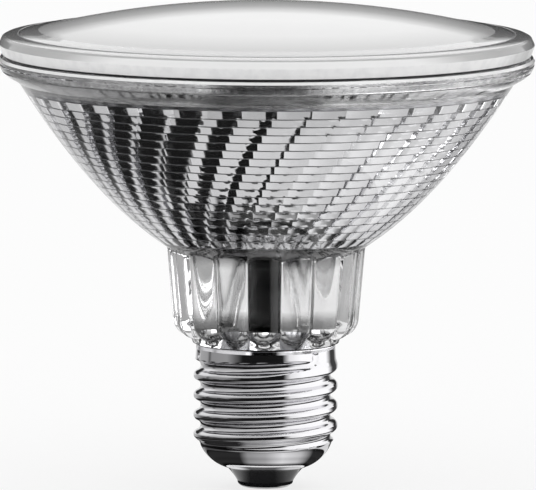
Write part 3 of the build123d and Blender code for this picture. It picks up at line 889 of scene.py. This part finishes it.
def shaped_card(name, seen_by, corners, around):
    """A flat card between corners."""
    bpy.ops.object.select_all(action="DESELECT")
    bpy.ops.mesh.primitive_circle_add(vertices=len(corners), fill_type="NGON")
    card = bpy.context.object
    for vertex, (x, y, z) in zip(card.data.vertices, corners):
        vertex.co = (x * MM, y * MM, z * MM)
    staged(card, name, seen_by, around)


# Walls round the cap, from the floor to high above: dark in front and on the left, bright on the right.
METAL_WALL = 500
metal_round = [
    (-180, 0.8), (-152, 0.8), (-146, 0.5), (-110, 0.4), (-104, 0.12), (-99, 0.33), (-66, 0.36),
    (-50, 0.14), (-38, 0.01), (28, 0.01), (33, 0.4), (39, 1.0), (60, 1.3), (116, 1.3), (126, 0.5),
    (132, 0.06), (150, 0.06), (158, 0.5), (180, 0.9),
]
standing_ring("ring_for_metal", "metal", METAL_WALL, 0, 100, metal_round)
sky_round = [
    (-180, 0.95), (-120, 0.9), (-100, 0.55), (-40, 0.6), (0, 0.7), (40, 1.2), (110, 1.3), (180, 0.95),
]
standing_ring("sky_for_metal", "metal", METAL_WALL, 100, 370, sky_round)
high_sky_round = [
    (-180, 0.95), (-120, 0.9), (-80, 0.8), (-45, 0.6), (10, 0.6), (36, 1.1), (110, 1.3), (180, 0.95),
]
standing_ring("high_sky_for_metal", "metal", METAL_WALL, 370, 1200, high_sky_round)

# Walls that the neck's fingers, the facets and the flange show through the glass.
GLASS_WALL = 450
neck_round = [
    (-180, 0.35), (-140, 0.45), (-120, 0.85), (-100, 0.85), (-92, 0.4), (-84, 0.85), (-60, 0.95),
    (-40, 0.9), (-34, 0.9), (-31, 1.7), (-26, 1.6), (-22.5, 0.0), (17, 0.0), (21, 0.45), (27, 0.9),
    (44, 0.9), (48, 0.5), (60, 0.8), (64, 0.1), (80, 0.1), (88, 0.85), (120, 0.9), (140, 0.45), (180, 0.35),
]
standing_ring("neck_ring_for_glass", "glass", GLASS_WALL, 0, 170, neck_round)
front_dark = [(-180, 0.95), (-40, 0.95), (-28, 0.02), (24, 0.02), (36, 0.95), (180, 0.95)]
standing_ring("upper_ring_for_glass", "glass", GLASS_WALL, 170, 600, front_dark)
BAND_WALL = 200
band_round = [
    (-180, 0.9), (-140, 0.7), (-100, 0.5), (-40, 0.3), (-22, 0.14), (10, 0.18), (26, 1.2), (40, 3.0),
    (70, 4.0), (180, 3.0),
]
standing_ring("band_ring_for_glass", "glass", BAND_WALL, 48, 68, band_round)

# Floor cards that the facets show: a wide light one, and a small one that is dark on the left.
facet_round = [
    (-180, 0.9), (-100, 0.85), (-50, 0.8), (-10, 0.72), (20, 0.74), (50, 0.85), (90, 0.95), (180, 0.95),
]
facet_shades = [(0, 0.02), (21, 0.02), (33, 0.9), (60, 1.0), (85, 1.0), (105, 0.72), (300, 0.8)]
flat_card("card_for_facets", "glass", 300, 0.5, facet_round, facet_shades)
near_left = [
    (-180, 0.9), (-128, 0.88), (-118, 0.03), (-24, 0.02), (-12, 0.72), (20, 0.74), (50, 0.85), (180, 0.95),
]
near_left_shades = [(0, 0.02), (21, 0.02), (33, 0.9), (39, 0.92)]
flat_card("near_left_for_glass", "glass", 39, 1.2, near_left, near_left_shades)

# Floor cards that the thread and the dish show, from the widest to the small ones under the contact.
flat_card("wide_card", "metal", METAL_WALL, 0.4, metal_round)
left_floor = [
    (-180, 0.6), (-140, 0.5), (-115, 0.05), (-60, 0.03), (-30, 0.01), (28, 0.01), (33, 0.4), (39, 1.0),
    (60, 1.3), (116, 1.3), (126, 0.5), (132, 0.06), (150, 0.06), (158, 0.5), (180, 0.9),
]
flat_card("left_floor_card", "metal", 160, 0.5, left_floor)
near_round = [(-180, 0.6), (-140, 0.5), (-110, 0.1), (-60, 0.1), (-30, 0.6), (0, 1.0), (180, 1.0)]
near_shades = [(0, 0.02), (19.5, 0.02), (20.5, 0.8), (27, 0.8), (31, 0.05), (55, 0.03)]
flat_card("near_card", "metal", 55, 0.6, near_round, near_shades)
patch_round = [
    (-180, 0.03), (-36, 0.03), (-24, 0.36), (0, 0.5), (24, 0.95), (50, 0.7), (76, 0.03), (180, 0.03),
]
patch_shades = [(0, 0.04), (8.8, 0.04), (10.2, 1.0), (12.2, 0.75), (14.0, 1.0), (16.5, 0.9), (19.5, 0.04)]
flat_card("light_patch", "metal", 19.5, 0.8, patch_round, patch_shades)
foot_round = [(-180, 0.7), (-60, 0.9), (-34, 0.12), (20, 0.12), (50, 0.7), (180, 0.7)]
flat_card("foot_card", "metal", 7.3, 1.2, foot_round)
lip_shades = [(0, 0.03), (7.3, 0.03), (7.5, 1.0), (8.3, 1.0)]
flat_card("lip_card", "metal", 8.3, 1.0, [(-180, 1.0), (180, 1.0)], lip_shades)

# Black cards on the floor at the left and in front for the glass, and a dark wall at the back for the metal.
left_round = [(-180, 0.7), (-106, 0.7), (-92, 0.03), (-80, 0.01), (180, 0.01)]
left_corners = [(-134, 22), (-38, 22), (-30, -70), (-20, -85), (-30, -104), (-30, -130), (-134, -130)]
shaped_card("low_left_card", "glass", [(x, y, 1) for x, y in left_corners], left_round)
front_corners = [(-75, -126, 0.8), (62, -126, 0.8), (200, -400, 0.8), (-230, -400, 0.8)]
shaped_card("front_card_for_glass", "glass", front_corners, [(-180, 0.01), (180, 0.01)])
BACK = 400
BACK_HALF = 450
for foot, top, shade in ((60, 150, 0.03), (150, 166, 0.25), (166, 182, 0.55)):
    wall_foot = [(-BACK_HALF, BACK, foot), (BACK_HALF, BACK, foot)]
    wall_top = [(BACK_HALF, BACK, top), (-BACK_HALF, BACK, top)]
    shaped_card("back_wall", "metal", wall_foot + wall_top, [(-180, shade), (180, shade)])

# Camera: a long lens a little above the bulb, as for a catalogue picture.
# A small roll and a sideways shift put the bulb's axis where the picture has it.
PICTURE_WIDTH = 536
AXIS_LEFT_PIXELS = 1.9
FOCAL_LENGTH = 667
SENSOR_WIDTH = 36
DISTANCE = 1800
FAR_END = 20000
AIM_HEIGHT = 44.1
ELEVATION = math.radians(6.6)
ROLL = math.radians(0.2)
camera = bpy.data.objects.new("camera", bpy.data.cameras.new("camera"))
scene.collection.objects.link(camera)
camera.data.lens = FOCAL_LENGTH
camera.data.sensor_width = SENSOR_WIDTH
camera.data.shift_x = AXIS_LEFT_PIXELS / PICTURE_WIDTH
camera.data.clip_end = FAR_END * MM
back = DISTANCE * math.cos(ELEVATION)
rise = DISTANCE * math.sin(ELEVATION)
camera.location = (0, -back * MM, (AIM_HEIGHT + rise) * MM)
turn_down = Matrix.Rotation(math.pi / 2 - ELEVATION, 4, "X")
camera.rotation_euler = (turn_down @ Matrix.Rotation(ROLL, 4, "Z")).to_euler()
scene.camera = camera

bpy.context.view_layer.update()
